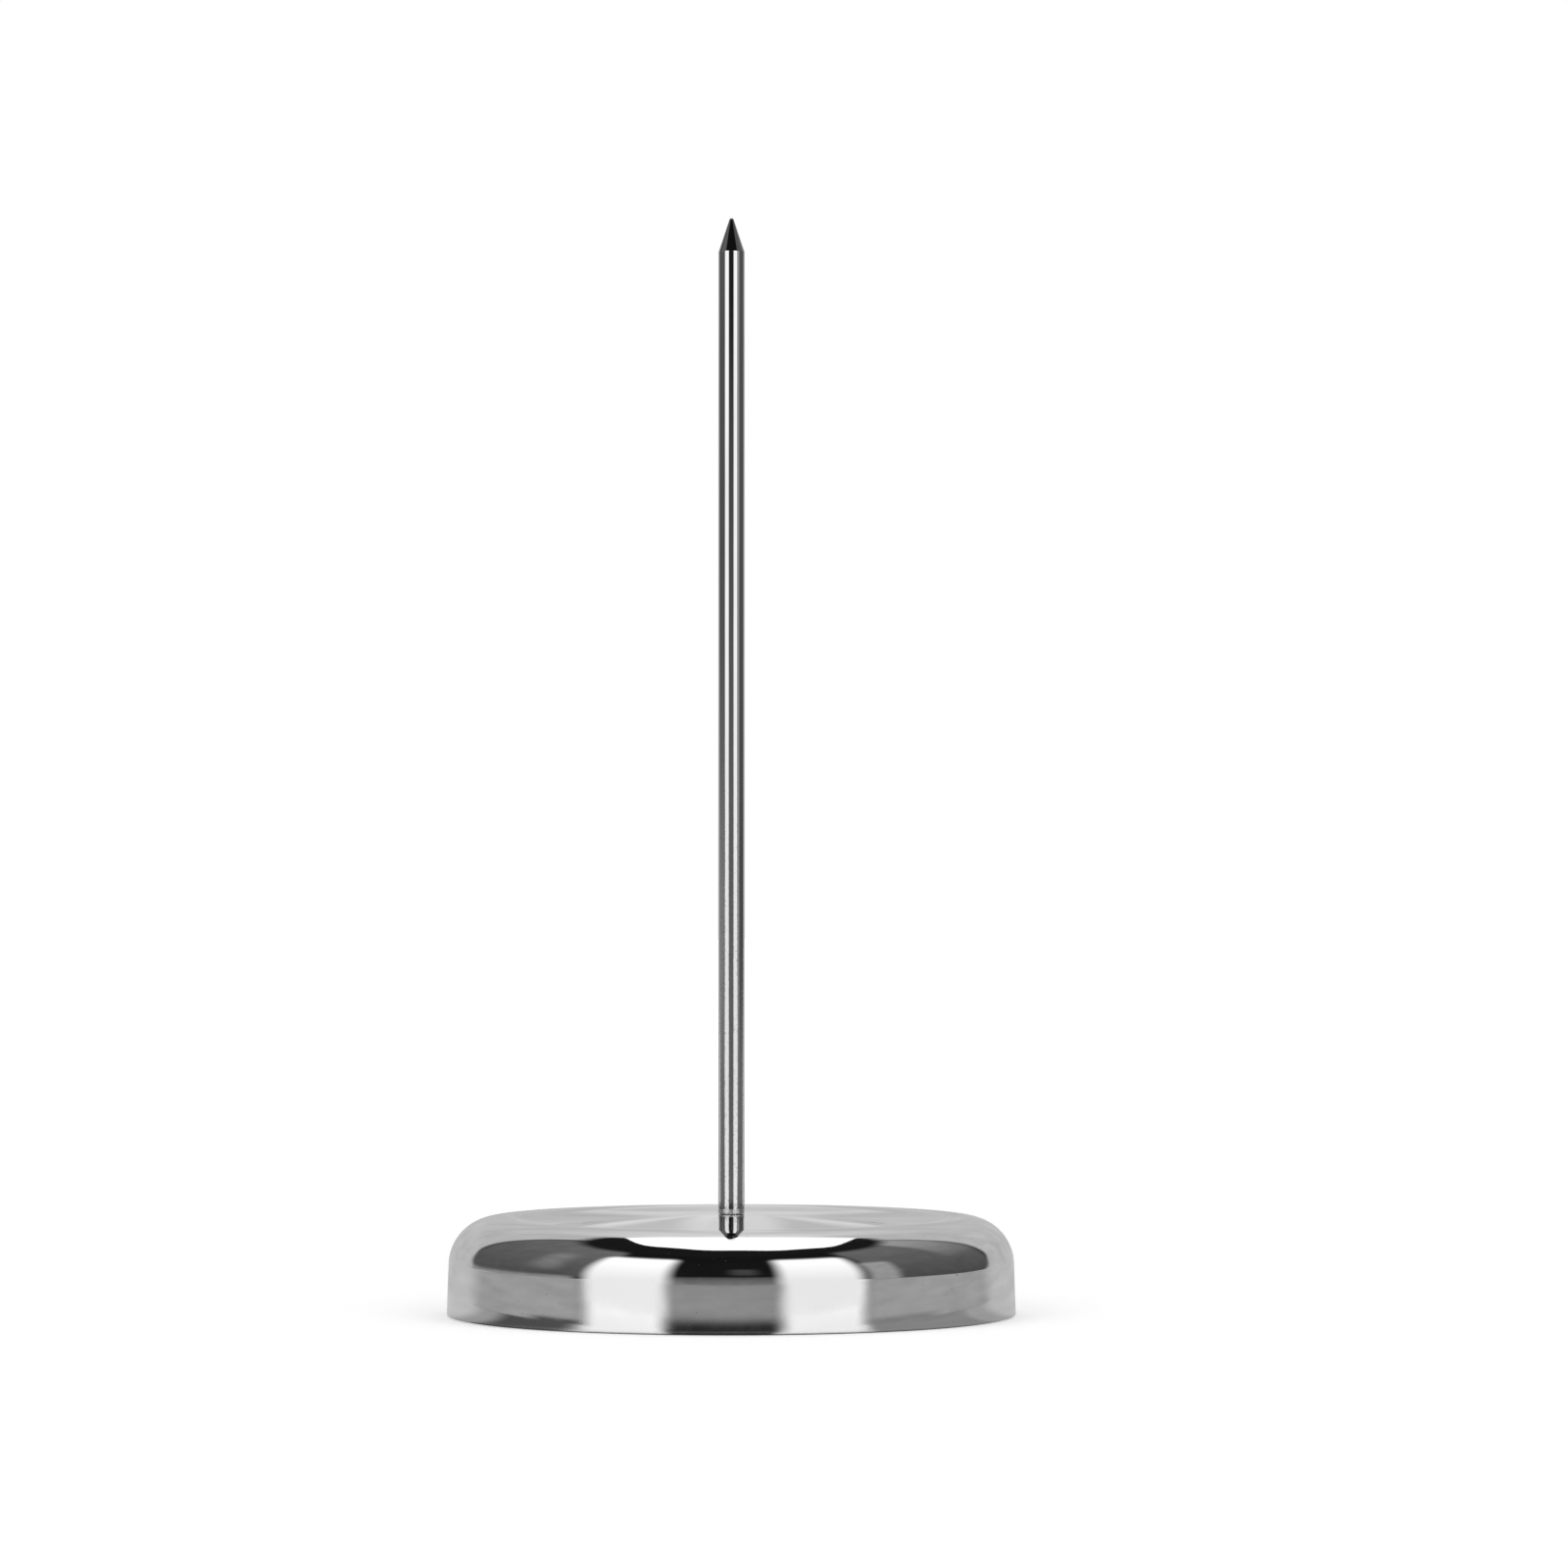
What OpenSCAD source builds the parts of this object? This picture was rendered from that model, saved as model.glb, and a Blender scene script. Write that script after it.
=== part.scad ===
// Bill spike: a pointed steel rod on a weighted, pressed steel base, for slips of paper.
// The origin is on the axis of the rod, in the plane that the base stands on. +Z points up the rod.

/* [Overall] */
// Height from the table to the tip of the spike
overall_h = 145; // [110:1:200]
// Outer diameter of the shell at its lower edge
base_d = 75; // [70:0.5:100]

/* [Base shell] */
// Thickness of the pressed sheet
sheet_t = 0.6; // [0.4:0.1:1]
// Height of the shell, from its lower edge to the crest of its rim
shell_h = 12.8; // [12:0.1:18]
// Draft of the skirt, in degrees from upright
skirt_draft = 1.9; // [0.5:0.1:4]
// Outer radius of the shoulder, from the skirt over the rim
shoulder_r = 6.3; // [4:0.1:7]
// Drop from the crest of the rim to the bottom of the trough
trough_drop = 1.5; // [0.8:0.1:2]
// Diameter of the circle along the bottom of the trough
trough_d = 46; // [40:0.5:50]
// Radius of the trough on its inner side, where the cone begins
trough_inner_r = 12; // [5:0.5:20]
// Rise from the bottom of the trough to the seat of the rod
cone_rise = 1.8; // [1.2:0.1:2.5]
// Diameter of the flat seat in the middle, which the rod stands on
seat_d = 6; // [5:0.5:10]
// Radius that blends the cone into the seat
seat_blend_r = 16; // [5:0.5:25]

/* [Spike] */
// Diameter of the rod
rod_d = 3.5; // [3.4:0.1:4.5]
// Length of the ground point
point_len = 4.5; // [3:0.1:10]
// Diameter of the blunt tip
tip_d = 0.6; // [0.2:0.05:1.2]
// Edge break round the foot of the rod
foot_break = 0.2; // [0.05:0.05:0.3]
// Diameter of the threaded stem below the rod
thread_d = 3; // [2:0.1:3.1]
// Length of thread that shows below the nut
thread_past_nut = 0.8; // [0.3:0.1:1.2]
// Chamfer at the lower end of the stem
thread_lead = 0.4; // [0.1:0.05:0.6]

/* [Weight and fasteners] */
// Thickness of the weight disc
weight_t = 3.2; // [2:0.1:3.4]
// Gap between the edge of the weight disc and the skirt
weight_gap = 2; // [1.6:0.1:6]
// Chamfer round both edges of the weight disc
weight_chamfer = 0.4; // [0.1:0.05:0.8]
// Radial clearance of the holes that the stem passes through
hole_clearance = 0.1; // [0.05:0.05:0.2]
// Radial clearance inside the thread of the nut
thread_clearance = 0.03; // [0.01:0.01:0.05]
// Outer diameter of the plain washer
washer_d = 7; // [6:0.1:9]
// Thickness of the plain washer
washer_t = 0.5; // [0.3:0.1:0.8]
// Outer diameter of the spring washer
spring_washer_d = 5.9; // [5:0.1:7]
// Thickness of the spring washer
spring_washer_t = 0.8; // [0.5:0.1:1]
// Width of the slit in the spring washer
spring_slit = 0.5; // [0.3:0.1:0.8]
// Slant of the slit, in degrees from upright
spring_slit_slant = 20; // [0:1:30]
// Width of the nut across its flats
nut_across_flats = 5.5; // [5:0.1:6.5]
// Thickness of the nut
nut_t = 2.4; // [1.8:0.1:2.6]

/* [Rubber base] */
// Distance that the rubber stands below the edge of the shell
foot_drop = 0.2; // [0.1:0.05:0.8]
// Radial clearance between the rubber and the skirt
rubber_gap = 0.1; // [0.05:0.05:0.2]
// Thickness of the upright wall of the rubber
rubber_wall_t = 4; // [3:0.1:6]
// Thickness of the floor of the rubber, under its ring of treads
rubber_floor_t = 1.8; // [1.5:0.1:2]
// Depth of the recess in the middle of the underside
recess_depth = 0.6; // [0.3:0.1:0.8]
// Width of the ring round the recess, which carries the treads
tread_ring_w = 9; // [7:0.5:14]
// Number of grooves in the ring
groove_count = 3; // [1:1:4]
// Width of each groove
groove_w = 0.9; // [0.5:0.1:1.1]
// Depth of each groove
groove_depth = 0.4; // [0.2:0.05:0.6]
// Number of ribs inside the rubber, which stiffen its floor
rib_count = 6; // [3:1:12]
// Thickness of each rib
rib_t = 1.4; // [1:0.1:2]
// Height of each rib above the floor
rib_h = 2.2; // [1:0.1:3]
// Outer diameter of the ring that joins the ribs round the nut
hub_ring_d = 14; // [13:0.5:20]

/* [Hidden] */
$fn = 96;
// Steps along a profile's arcs, in degrees
arc_step = 3;
// Length by which a cutting shape stands past what it cuts
cut_past = 1;
// Direction of a normal that points straight up, in degrees from outwards
upward = 90;

// Heights of the shell
shell_z0 = foot_drop;
crest_z = shell_z0 + shell_h;
trough_z = crest_z - trough_drop;
seat_z = trough_z + cone_rise;

// The shoulder's arc runs tangent to the skirt, which sets the radius of the crest
edge_r = base_d / 2;
shoulder_cz = crest_z - shoulder_r;
crest_r = edge_r - (shoulder_cz - shell_z0) * tan(skirt_draft) - shoulder_r / cos(skirt_draft);
// The rim falls into the trough by two arcs that meet tangent at this slope
trough_r = trough_d / 2;
rim_run = crest_r - trough_r;
rim_slope = 2 * atan(trough_drop / rim_run);
trough_outer_r = rim_run / sin(rim_slope) - shoulder_r;
// The cone is the straight line that is tangent to the trough's inner arc and to the seat's blend
seat_r = seat_d / 2;
blend_sum = trough_inner_r + seat_blend_r;
cone_run = trough_r - seat_r;
cone_slope = atan2(cone_run, blend_sum - cone_rise)
    - acos(blend_sum / norm([cone_run, blend_sum - cone_rise]));

// Stack of pieces on the stem, from the weight disc down
weight_top = trough_z - sheet_t;
weight_z0 = weight_top - weight_t;
washer_z0 = weight_z0 - washer_t;
spring_washer_z0 = washer_z0 - spring_washer_t;
nut_z0 = spring_washer_z0 - nut_t;
stem_z0 = nut_z0 - thread_past_nut;
hole_r = thread_d / 2 + hole_clearance;
nut_bore_r = thread_d / 2 + thread_clearance;

// The skirt's inner face, which the weight and the rubber keep clear of
function skirt_inner_r(z) = edge_r - (z - shell_z0) * tan(skirt_draft) - sheet_t / cos(skirt_draft);
weight_r = skirt_inner_r(weight_z0) - weight_gap;

// Stations of a profile: each is [radius, height, direction of the outer normal in degrees]
function steps(a0, a1) = max(1, ceil(abs(a1 - a0) / arc_step));
// Arc that bulges out of the metal, round centre c
function crown_arc(c, r, a0, a1) = let (n = steps(a0, a1))
    [for (i = [0:n]) let (a = a0 + (a1 - a0) * i / n) [c[0] + r * cos(a), c[1] + r * sin(a), a]];
// Arc that hollows the metal, round a centre c that lies outside it
function hollow_arc(c, r, a0, a1) = let (n = steps(a0, a1))
    [for (i = [0:n]) let (a = a0 + (a1 - a0) * i / n) [c[0] - r * cos(a), c[1] - r * sin(a), a]];
// The face that lies a depth t under the stations
function under(stations, t) = [for (s = stations) [s[0] - t * cos(s[2]), s[1] - t * sin(s[2])]];
function reversed(list) = [for (i = [len(list) - 1:-1:0]) list[i]];

// Outer face of the shell from the skirt, over the rim, through the trough and up the cone
shell_stations = concat(
    crown_arc([crest_r, shoulder_cz], shoulder_r, skirt_draft, upward + rim_slope),
    hollow_arc([trough_r, trough_z + trough_outer_r], trough_outer_r, upward + rim_slope, upward),
    hollow_arc([trough_r, trough_z + trough_inner_r], trough_inner_r, upward, upward - cone_slope),
    crown_arc([seat_r, seat_z - seat_blend_r], seat_blend_r, upward - cone_slope, upward)
);

// Pressed from one round of sheet, the same thickness all over, with a hole for the stem
module base_shell() {
    color("gainsboro")
        rotate_extrude()
            polygon(concat(
                [[edge_r, shell_z0]],
                under(shell_stations, 0),
                [[hole_r, seat_z], [hole_r, seat_z - sheet_t]],
                reversed(under(shell_stations, sheet_t)),
                [[skirt_inner_r(shell_z0), shell_z0]]
            ));
}

// Turned from one rod: ground point, plain shaft, shoulder on the seat and threaded stem
module spike() {
    tip_r = tip_d / 2;
    rod_r = rod_d / 2;
    point_z0 = overall_h - point_len;
    // Slope of the point's side, tangent to its ball-shaped tip
    point_turn = atan2(rod_r - tip_r, point_len);
    color("silver")
        rotate_extrude()
            polygon(concat(
                [[0, stem_z0], [thread_d / 2 - thread_lead, stem_z0], [thread_d / 2, stem_z0 + thread_lead]],
                [[thread_d / 2, seat_z], [rod_r - foot_break / 2, seat_z], [rod_r, seat_z + foot_break]],
                [[rod_r, point_z0]],
                under(crown_arc([0, overall_h - tip_r], tip_r, point_turn, upward), 0)
            ));
}

// Flat steel ballast with broken edges and a clearance hole
module weight_disc() {
    color("dimgray")
        rotate_extrude()
            polygon([
                [hole_r, weight_z0],
                [weight_r - weight_chamfer, weight_z0],
                [weight_r, weight_z0 + weight_chamfer],
                [weight_r, weight_top - weight_chamfer],
                [weight_r - weight_chamfer, weight_top],
                [hole_r, weight_top]
            ]);
}

module ring(outer_r, inner_r, z0, t) {
    translate([0, 0, z0])
        difference() {
            cylinder(r = outer_r, h = t);
            translate([0, 0, -cut_past])
                cylinder(r = inner_r, h = t + 2 * cut_past);
        }
}

module plain_washer() {
    color("silver")
        ring(washer_d / 2, hole_r, washer_z0, washer_t);
}

// Split ring, pressed flat under the nut
module spring_washer() {
    slit_h = 2 * (spring_washer_t + cut_past);
    color("darkgray")
        difference() {
            ring(spring_washer_d / 2, hole_r, spring_washer_z0, spring_washer_t);
            translate([0, 0, spring_washer_z0 + spring_washer_t / 2])
                rotate([spring_slit_slant, 0, 0])
                    translate([0, -spring_slit / 2, -slit_h / 2])
                        cube([spring_washer_d, spring_slit, slit_h]);
        }
}

// Hexagon with the 30 degree corner chamfer of a turned nut on both faces
module hex_nut() {
    sides = 6;
    chamfer_angle = 30;
    flat_r = nut_across_flats / 2;
    corner_r = flat_r / cos(180 / sides);
    chamfer_h = (corner_r - flat_r) * tan(chamfer_angle);
    color("silver")
        difference() {
            intersection() {
                translate([0, 0, nut_z0])
                    cylinder(r = corner_r, h = nut_t, $fn = sides);
                rotate_extrude()
                    polygon([
                        [0, nut_z0],
                        [flat_r, nut_z0],
                        [corner_r, nut_z0 + chamfer_h],
                        [corner_r, nut_z0 + nut_t - chamfer_h],
                        [flat_r, nut_z0 + nut_t],
                        [0, nut_z0 + nut_t]
                    ]);
            }
            translate([0, 0, nut_z0 - cut_past])
                cylinder(r = nut_bore_r, h = nut_t + 2 * cut_past);
        }
}

// Moulded cup that fills the skirt up to the weight disc and stands on a ring of treads
module rubber_base() {
    outer_r0 = skirt_inner_r(shell_z0) - rubber_gap;
    outer_r1 = skirt_inner_r(weight_z0) - rubber_gap;
    floor_z = rubber_floor_t;
    inner_r = outer_r1 - rubber_wall_t;
    ring_inner_r = outer_r0 - foot_drop - tread_ring_w;
    land_w = (tread_ring_w - groove_count * groove_w) / (groove_count + 1);
    color("#2b2b2d") {
        difference() {
            rotate_extrude()
                polygon([
                    [0, recess_depth],
                    [ring_inner_r - recess_depth, recess_depth],
                    [ring_inner_r, 0],
                    [outer_r0 - foot_drop, 0],
                    [outer_r0, shell_z0],
                    [outer_r1, weight_z0],
                    [inner_r, weight_z0],
                    [inner_r, floor_z],
                    [0, floor_z]
                ]);
            for (i = [0:groove_count - 1]) {
                groove_r = ring_inner_r + land_w + i * (land_w + groove_w);
                ring(groove_r + groove_w, groove_r, -cut_past, groove_depth + cut_past);
            }
        }
        translate([0, 0, floor_z])
            linear_extrude(rib_h) {
                difference() {
                    circle(r = hub_ring_d / 2);
                    circle(r = hub_ring_d / 2 - rib_t);
                }
                for (i = [0:rib_count - 1])
                    rotate((i + 0.5) * 360 / rib_count)
                        translate([hub_ring_d / 2 - rib_t / 2, -rib_t / 2])
                            square([inner_r - hub_ring_d / 2 + rib_t, rib_t]);
            }
    }
}

spike();
base_shell();
weight_disc();
plain_washer();
spring_washer();
hex_nut();
rubber_base();
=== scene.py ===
"""Looks of the bill spike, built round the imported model.

The rod, the pressed shell, the weight, its fasteners and the moulded base are modelled finer than the
frame, in the same places and at the same sizes. Each has its own finish. The last operator sets the floor,
the studio and the camera."""

import math

import bmesh
import bpy
from mathutils import Matrix, Vector


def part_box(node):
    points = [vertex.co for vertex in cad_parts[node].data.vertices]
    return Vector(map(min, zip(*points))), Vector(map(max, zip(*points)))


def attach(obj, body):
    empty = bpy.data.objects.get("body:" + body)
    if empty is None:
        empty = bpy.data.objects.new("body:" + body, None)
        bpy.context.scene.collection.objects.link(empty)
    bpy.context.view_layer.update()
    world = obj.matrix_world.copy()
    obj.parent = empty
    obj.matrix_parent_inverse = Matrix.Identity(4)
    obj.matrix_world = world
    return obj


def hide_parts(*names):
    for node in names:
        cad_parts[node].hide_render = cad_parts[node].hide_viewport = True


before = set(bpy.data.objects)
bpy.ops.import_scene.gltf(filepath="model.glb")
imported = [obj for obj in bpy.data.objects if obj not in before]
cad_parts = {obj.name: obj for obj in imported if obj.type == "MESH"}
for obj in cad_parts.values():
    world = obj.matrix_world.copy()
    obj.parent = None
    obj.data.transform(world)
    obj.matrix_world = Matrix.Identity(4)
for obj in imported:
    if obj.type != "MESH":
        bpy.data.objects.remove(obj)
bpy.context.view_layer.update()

bl_info = {
    "name": "Bill Spike",
    "version": (1, 0, 0),
    "blender": (4, 5, 0),
    "location": "View3D > Sidebar > Bill Spike",
    "description": "Builds a desk bill spike over its packed frame, with its finishes and studio",
    "category": "Add Mesh",
}

BODY = "root"
MM = 0.001
UP = Vector((0, 0, 1))

# Steps of a full turn, for large and for small pieces, for the thread and for the nut's round chamfer
SHELL_STEPS = 240
ROD_STEPS = 96
RING_STEPS = 192
SMALL_STEPS = 96
THREAD_STEPS = 40
CHAMFER_STEPS = 48
# Degrees between the points of a profile's arc
ARC_STEP = 2
# Length over which a straight run's shading is held next to an arc
HOLD = 0.12 * MM
# Points closer than this are one point
MERGE = 0.0005 * MM
# Edges that turn by more than this many degrees are shaded sharp
SHARP = 28
# Edges that turn by more than these many degrees are corners beside a slope, and square corners
SLOPED = 30
SQUARE = 60
# Height of the rough band round the foot of the rod, whose speckles also carry a painted highlight
FOOT_ROUGH = 0.8 * MM
# Where the ground point begins: how far the rod is broken inwards, and over what height
POINT_BREAK_R = 0.01 * MM
POINT_BREAK_Z = 0.05 * MM
# Taper from the root of the thread to the plain stem, and how deep the thread's ridge is sunk into its root
THREAD_TAPER = 0.3 * MM
RIDGE_SINK = 0.05 * MM
# Width of the ridge at its root as a share of the pitch, and at its crest as a share of its root
RIDGE_ROOT = 0.86
RIDGE_CREST = 0.15
# Corners beside a chamfer or a rounding are softened by one part in so many of it
SOFTENED_BY = 5
# Rounding of the spring washer's edges, and the steps over which the lean of its slit dies away
SPRING_BREAK = 0.04 * MM
LEAN_STEPS = 6
NUT_SIDES = 6
# Share of the nut's half width by which its faces are inset before they are led into the bore
FACE_INSET = 0.1
# How much narrower in radius the nut's bore is than the holes, and how many times as wide and how deep its
# countersink is
BORE_TIGHTER = 0.05 * MM
COUNTERSINK = 1.12
COUNTERSINK_DEPTH = 0.2 * MM
# How far the ribs are sunk into the rubber round them
RIB_SINK = 0.3 * MM

# Lowest and highest corner of each node, as the frame gives them
SHELL_LOW, SHELL_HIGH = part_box("base_shell")
SPIKE_LOW, SPIKE_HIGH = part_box("spike")
WEIGHT_LOW, WEIGHT_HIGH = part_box("weight_disc")
WASHER_LOW, WASHER_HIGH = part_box("plain_washer")
SPRING_LOW, SPRING_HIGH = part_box("spring_washer")
NUT_LOW, NUT_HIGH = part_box("hex_nut")
RUBBER_LOW, RUBBER_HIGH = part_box("rubber_base")


def length(name, description, default):
    """A size in metres, shown in the scene's unit."""
    return bpy.props.FloatProperty(
        name=name, description=description, default=default, min=0, precision=5, unit="LENGTH",
        subtype="DISTANCE",
    )


def angle(name, description, degrees):
    """An angle, kept in radians as Blender's own are."""
    return bpy.props.FloatProperty(
        name=name, description=description, default=math.radians(degrees), unit="ROTATION", subtype="ANGLE"
    )


def colour(name, description, default):
    """A colour without alpha."""
    return bpy.props.FloatVectorProperty(
        name=name, description=description, default=default, size=3, min=0, max=1, subtype="COLOR"
    )


def number(name, description, default):
    """A plain number, such as a brightness."""
    return bpy.props.FloatProperty(name=name, description=description, default=default, min=0)


def count(name, description, default):
    """A number of like features."""
    return bpy.props.IntProperty(name=name, description=description, default=default, min=1)


class ShellSizes(bpy.types.PropertyGroup):
    """Sizes of the pressed shell."""

    sheet_t: length("Sheet", "Thickness of the pressed sheet", 0.6 * MM)
    crest_z: length("Crest height", "Height of the rim's crest above the table", 13 * MM)
    draft: angle("Draft", "Lean of the skirt from upright", 1.9)
    shoulder_r: length("Shoulder radius", "Outer radius from the skirt over the rim", 6.3 * MM)
    trough_drop: length("Trough drop", "Drop from the crest to the bottom of the trough", 1.5 * MM)
    trough_r: length("Trough circle", "Radius of the circle along the bottom of the trough", 23 * MM)
    trough_inner_r: length("Trough's inner radius", "Radius of the arc where the cone begins", 12 * MM)
    seat_r: length("Seat", "Radius of the flat seat that the rod stands on", 3 * MM)
    seat_blend_r: length("Seat blend", "Radius of the arc that blends the cone into the seat", 16 * MM)
    edge_break: length("Edge break", "Rounding of the cut edges of the sheet", 0.08 * MM)


class SpikeSizes(bpy.types.PropertyGroup):
    """Sizes of the rod and its threaded stem."""

    rod_r: length("Rod radius", "Radius of the polished rod", 1.75 * MM)
    point_len: length("Point length", "Length of the ground point", 4.5 * MM)
    tip_r: length("Tip radius", "Radius of the blunt tip", 0.3 * MM)
    foot_break: length("Foot break", "Edge break round the foot of the rod", 0.2 * MM)
    thread_r: length("Thread radius", "Outer radius of the thread", 1.5 * MM)
    thread_root_r: length("Thread root", "Radius at the root of the thread", 1.2 * MM)
    thread_pitch: length("Thread pitch", "Rise of the thread in one turn", 0.5 * MM)
    thread_lead: length("Thread lead", "Chamfer at the lower end of the stem", 0.4 * MM)


class StackSizes(bpy.types.PropertyGroup):
    """Sizes of the weight and its fasteners."""

    hole_r: length("Hole radius", "Radius of the holes that the stem passes through", 1.6 * MM)
    weight_chamfer: length("Weight chamfer", "Chamfer round both edges of the weight", 0.4 * MM)
    washer_round: length("Washer rounding", "Rounding that the punch leaves on a washer's edge", 0.15 * MM)
    slit_w: length("Slit width", "Width of the slit in the spring washer", 0.5 * MM)
    slit_slant: angle("Slit slant", "Lean of the slit from upright", 20)
    across_flats: length("Across flats", "Width of the nut across its flats", 5.5 * MM)
    nut_chamfer: angle("Nut chamfer", "Slope of the chamfer on the nut's corners", 30)


class RubberSizes(bpy.types.PropertyGroup):
    """Sizes of the moulded rubber base."""

    wall_t: length("Wall", "Thickness of the upright wall", 4 * MM)
    floor_z: length("Floor height", "Height of the inner floor above the table", 1.8 * MM)
    recess: length("Recess", "Depth of the recess in the middle of the underside", 0.6 * MM)
    tread_w: length("Tread ring", "Width of the ring that carries the treads", 9 * MM)
    groove_count: count("Grooves", "Number of grooves in the ring", 3)
    groove_w: length("Groove width", "Width of each groove", 0.9 * MM)
    groove_depth: length("Groove depth", "Depth of each groove", 0.4 * MM)
    edge_round: length("Edge rounding", "Rounding of the moulded edges", 0.12 * MM)
    rib_count: count("Ribs", "Number of ribs inside", 6)
    rib_t: length("Rib thickness", "Thickness of each rib", 1.4 * MM)
    rib_h: length("Rib height", "Height of each rib above the floor", 2.2 * MM)
    hub_r: length("Hub radius", "Outer radius of the ring that joins the ribs", 7 * MM)


class Finishes(bpy.types.PropertyGroup):
    """Colours of the finishes."""

    polished_rod: colour("Polished rod", "Colour of the drawn and polished rod", (0.8, 0.8, 0.8))
    mirror_shell: colour("Mirror shell", "Colour of the mirror-bright pressing", (0.84, 0.84, 0.84))
    ballast: colour("Ballast steel", "Colour of the rolled plate", (0.3, 0.3, 0.31))
    zinc: colour("Zinc plate", "Colour of the plated fasteners", (0.68, 0.7, 0.72))
    spring_steel: colour("Spring steel", "Colour of the hardened washer", (0.2, 0.2, 0.21))
    rubber: colour("Rubber", "Colour of the moulded rubber", (0.03, 0.03, 0.032))


class StudioSettings(bpy.types.PropertyGroup):
    """Camera, lamps and cards."""

    camera_distance: length("Camera distance", "Distance from the rod's axis to the camera", 0.8)
    camera_height: length("Camera height", "Height of the camera above the table", 56.2 * MM)
    camera_pitch: angle("Camera pitch", "Upward tilt of the camera", 0.993)
    camera_yaw: angle("Camera yaw", "Turn of the camera to the right", 0.497)
    lens: number("Lens", "Focal length in mm", 139)
    panel: number("Panel", "Brightness of the overhead panel", 1.25)
    lamp_power: number("Lamp power", "Power of each lamp in front, in watts", 2.1)


class Pen:
    """Draws the outline of a turned piece in the XZ plane, point by point."""

    def __init__(self, x, z):
        self.bm = bmesh.new()
        self.tip = self.bm.verts.new((x, 0, z))

    def points(self, *places):
        """Draws straight edges from point to point."""
        for x, z in places:
            drawn = bmesh.ops.extrude_vert_indiv(self.bm, verts=[self.tip])
            self.tip = drawn["verts"][0]
            self.tip.co = (x, 0, z)

    def line(self, x, z):
        """Draws a straight edge with a short length at each end, which keeps its shading even by an arc."""
        start = self.tip.co.copy()
        run = Vector((x, 0, z)) - start
        if run.length > 3 * HOLD:
            ease = run.normalized() * HOLD
            near, far = start + ease, Vector((x, 0, z)) - ease
            self.points((near.x, near.z), (far.x, far.z))
        self.points((x, z))

    def arc(self, x, z, turn):
        """Draws an arc round a centre, by so many radians from +X towards +Z."""
        steps = max(1, math.ceil(abs(math.degrees(turn)) / ARC_STEP))
        drawn = bmesh.ops.spin(
            self.bm, geom=[self.tip], cent=(x, 0, z), axis=(0, -1, 0), angle=turn, steps=steps
        )
        self.tip = drawn["geom_last"][0]

    def turned(self, steps):
        """The outline turned once round the Z axis."""
        wind(self.bm, self.bm.verts[:] + self.bm.edges[:], math.tau, steps, use_merge=True)
        weld(self.bm)
        return self.bm


def wind(bm, drawn, turn, steps, **how):
    """Sweeps what is drawn round the Z axis."""
    bmesh.ops.spin(bm, geom=drawn, cent=(0, 0, 0), axis=(0, 0, 1), angle=turn, steps=steps, **how)


def weld(bm):
    """Merges doubles and points the faces outwards."""
    bmesh.ops.remove_doubles(bm, verts=bm.verts[:], dist=MERGE)
    bmesh.ops.dissolve_degenerate(bm, edges=bm.edges[:], dist=MERGE / 10)
    bmesh.ops.recalc_face_normals(bm, faces=bm.faces[:])


def sharp_edges(bm, degrees):
    """Edges at which the surface turns by more than this."""
    limit = math.radians(degrees)
    return [edge for edge in bm.edges if len(edge.link_faces) == 2 and edge.calc_face_angle() > limit]


def round_edges(bm, edges, width, segments=2):
    """Bevels edges with a round profile."""
    bmesh.ops.bevel(
        bm, geom=edges, offset=width, offset_type="OFFSET", segments=segments, profile=0.5, affect="EDGES",
        clamp_overlap=True, material=-1,
    )


def placed(bm, name, material):
    """Makes the mesh an object of the scene with one material."""
    mesh = bpy.data.meshes.new(name)
    bm.to_mesh(mesh)
    bm.free()
    mesh.materials.append(material)
    thing = bpy.data.objects.new(name, mesh)
    bpy.context.scene.collection.objects.link(thing)
    return thing


def finished(bm, name, node, finish):
    """Makes the mesh an object that stands for a node of the frame and takes its finish."""
    for face in bm.faces:
        face.smooth = True
    piece = placed(bm, name, finish)
    piece.data.set_sharp_from_angle(angle=math.radians(SHARP))
    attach(piece, BODY)
    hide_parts(node)


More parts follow.
